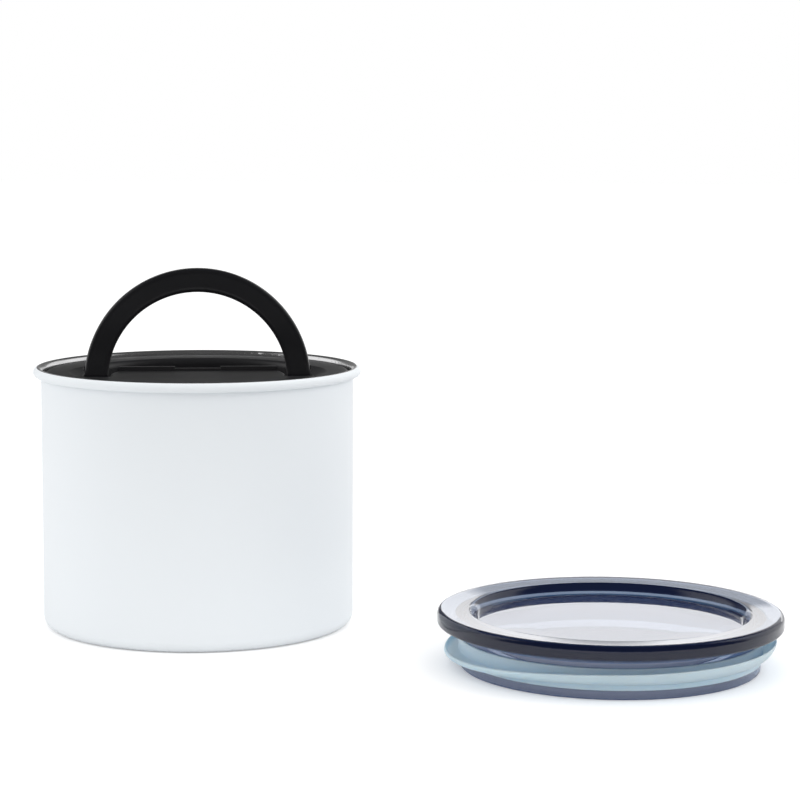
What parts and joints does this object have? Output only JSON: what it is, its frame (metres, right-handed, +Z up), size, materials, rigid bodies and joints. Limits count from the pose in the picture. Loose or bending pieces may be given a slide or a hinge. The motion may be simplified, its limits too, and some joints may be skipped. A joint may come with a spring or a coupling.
{
  "type": "coffee canister with valve",
  "caption": "Round steel storage canister with a rolled rim, a push-down inner lid with a folding arch handle that works an air valve, and a clear dished outer lid laid beside it.",
  "frame": {"origin": "centre of the canister's base, on the surface it stands on", "axes": "+Z up along the canister's axis; +X along the handle's hinge, towards the side where the outer lid lies; +Y to the rear, where the handle folds down"},
  "size_m": [0.2749, 0.2123, 0.1389],
  "materials": {
    "painted_steel": "matte white paint outside, bare polished steel inside",
    "black_plastic": "satin",
    "handle_plastic": "satin",
    "silicone": "translucent matte",
    "bare_steel": "bright",
    "smoked_clear": "gloss"
  },
  "bodies": {
    "canister": {"canister_body": "painted_steel"},
    "inner_lid": {"lid_top": "black_plastic", "lid_base": "black_plastic", "lid_seal": "silicone", "lid_screws": "bare_steel", "hinge_pins": "bare_steel", "valve_spring": "bare_steel"},
    "handle": {"handle": "handle_plastic"},
    "valve": {"valve_bridge": "black_plastic", "valve_disc": "silicone", "valve_screw": "bare_steel"},
    "outer_lid": {"outer_lid": "smoked_clear", "outer_lid_seal": "silicone"}
  },
  "joints": [
    {"name": "lid_slide", "type": "slide", "parent": "canister", "child": "inner_lid", "axis": [0, 0, 1], "range_m": [-0.066, 0.045]},
    {"name": "handle_fold", "type": "hinge", "parent": "inner_lid", "child": "handle", "pos_m": [0, 0, 0.095], "axis": [-1, 0, 0], "range_deg": [0, 90]},
    {"name": "valve_slide", "type": "slide", "parent": "inner_lid", "child": "valve", "axis": [0, 0, 1], "range_m": [0, 0.0025], "deforming": ["valve_spring"]},
    {"name": "outer_lid_lift", "type": "slide", "parent": "canister", "child": "outer_lid", "axis": [0, 0, 1], "range_m": [0, 0.12]}
  ],
  "couplings": [
    {"joint": "valve_slide", "follows": "handle_fold", "m_per_rad": 0.0015915}
  ]
}
